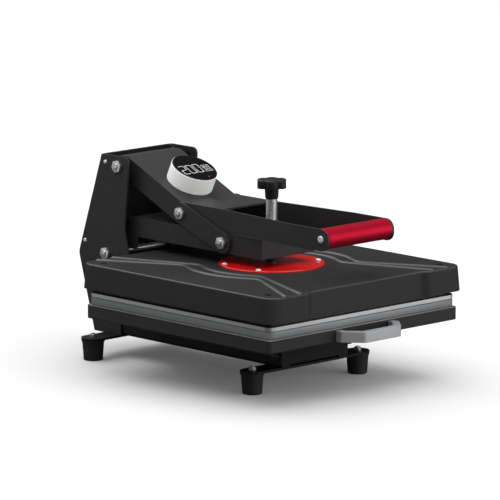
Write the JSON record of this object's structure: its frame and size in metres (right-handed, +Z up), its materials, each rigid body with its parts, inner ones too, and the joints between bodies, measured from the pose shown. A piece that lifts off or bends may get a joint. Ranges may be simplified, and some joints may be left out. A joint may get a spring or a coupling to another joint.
{
  "type": "flat heat press",
  "caption": "Flat heat press with a slide-out padded lower platen, a heated upper platen under a cover, a toggle lever with a grip, a pressure screw and a round display.",
  "frame": {"origin": "floor level under the middle of the press's bounding box", "axes": "+X to the operator's right, +Y to the back, +Z up"},
  "size_m": [0.398, 0.576, 0.3066],
  "materials": {
    "black_paint": "satin",
    "cover_paint": "fine texture",
    "foot_rubber": "matte",
    "zinc_fastener": "zinc plated",
    "black_fastener": "blackened",
    "turned_steel": "turned",
    "rail_steel": "electrocoated",
    "bronze": "sintered",
    "platen_aluminium": "cast",
    "pull_aluminium": "brushed",
    "heater_sheath": "heat stained",
    "insulation": "fibre board",
    "silicone": "matte foam",
    "red_disc": "gloss",
    "red_grip": "anodised satin",
    "black_plastic": "fine grain",
    "red_plastic": "gloss",
    "white_plastic": "satin",
    "display_black": "gloss",
    "circuit_board": "matte"
  },
  "bodies": {
    "base": {"rubber_feet": "foot_rubber", "foot_bolts": "zinc_fastener", "front_foot_bar": "black_paint", "rear_foot_bar": "black_paint", "base_channel": "black_paint", "slide_outer_rails": "rail_steel", "stand_left_plate": "black_paint", "stand_right_plate": "black_paint", "stand_rear_cover": "black_paint", "stand_cover_screws": "zinc_fastener", "lever_pivot_bolt": "zinc_fastener", "arm_pivot_bolt": "zinc_fastener", "pivot_spacers": "turned_steel", "power_inlet": "black_plastic", "switch_bezel": "black_plastic", "control_board": "circuit_board"},
    "switch": {"power_switch": "red_plastic"},
    "slide_middle": {"slide_middle_rails": "rail_steel"},
    "drawer": {"lower_tray": "black_paint", "silicone_pad": "silicone", "drawer_pull": "pull_aluminium", "pull_screws": "zinc_fastener", "slide_inner_rails": "rail_steel", "tray_brackets": "black_paint"},
    "arm": {"lower_arm": "black_paint", "arm_bushes": "bronze", "screw_nut": "turned_steel"},
    "platen": {"pressure_disc": "red_disc", "disc_screws": "zinc_fastener", "swivel_hub": "turned_steel", "platen_cover": "cover_paint", "cover_screws": "black_fastener", "platen_posts": "turned_steel", "heat_platen": "platen_aluminium", "heating_element": "heater_sheath", "insulation_board": "insulation"},
    "screw": {"pressure_screw": "turned_steel", "pressure_knob": "black_plastic"},
    "lever": {"lever_frame": "black_paint", "lever_bushes": "bronze", "grip_sleeve": "red_grip", "grip_bolts": "zinc_fastener", "display_housing": "white_plastic", "display_face": "display_black", "display_board": "circuit_board"},
    "link": {"link_left": "black_paint", "link_right": "black_paint", "knee_bolts": "zinc_fastener", "link_end_bolts": "zinc_fastener"}
  },
  "joints": [
    {"name": "arm_lift", "type": "hinge", "parent": "base", "child": "arm", "pos_m": [0, 0.22798, 0.156], "axis": [-1, 0, 0], "range_deg": [0, 18]},
    {"name": "lever_swing", "type": "hinge", "parent": "base", "child": "lever", "pos_m": [0, 0.20098, 0.291], "axis": [-1, 0, 0], "range_deg": [0, 48.21]},
    {"name": "link_fold", "type": "hinge", "parent": "lever", "child": "link", "pos_m": [0, 0.07798, 0.234], "axis": [-1, 0, 0], "range_deg": [-77.18, 0]},
    {"name": "platen_adjust", "type": "slide", "parent": "arm", "child": "platen", "axis": [0, 0, 1], "range_m": [0, 0.004]},
    {"name": "knob_turn", "type": "hinge", "parent": "platen", "child": "screw", "pos_m": [0, -0.05602, 0.2835], "axis": [0, 0, 1], "range_deg": [0, 720]},
    {"name": "drawer_slide", "type": "slide", "parent": "base", "child": "drawer", "axis": [0, -1, 0], "range_m": [0, 0.25]},
    {"name": "middle_rail_slide", "type": "slide", "parent": "base", "child": "slide_middle", "axis": [0, -1, 0], "range_m": [0, 0.125]},
    {"name": "switch_rock", "type": "hinge", "parent": "base", "child": "switch", "pos_m": [0.067, 0.22998, 0.1305], "axis": [0, -1, 0], "range_deg": [0, 20]}
  ],
  "couplings": [
    {"joint": "lever_swing", "follows": "arm_lift", "ratio": 2.6758},
    {"joint": "link_fold", "follows": "arm_lift", "ratio": -4.2849},
    {"joint": "middle_rail_slide", "follows": "drawer_slide", "ratio": 0.5},
    {"joint": "knob_turn", "follows": "platen_adjust", "rad_per_m": 3141.6}
  ]
}
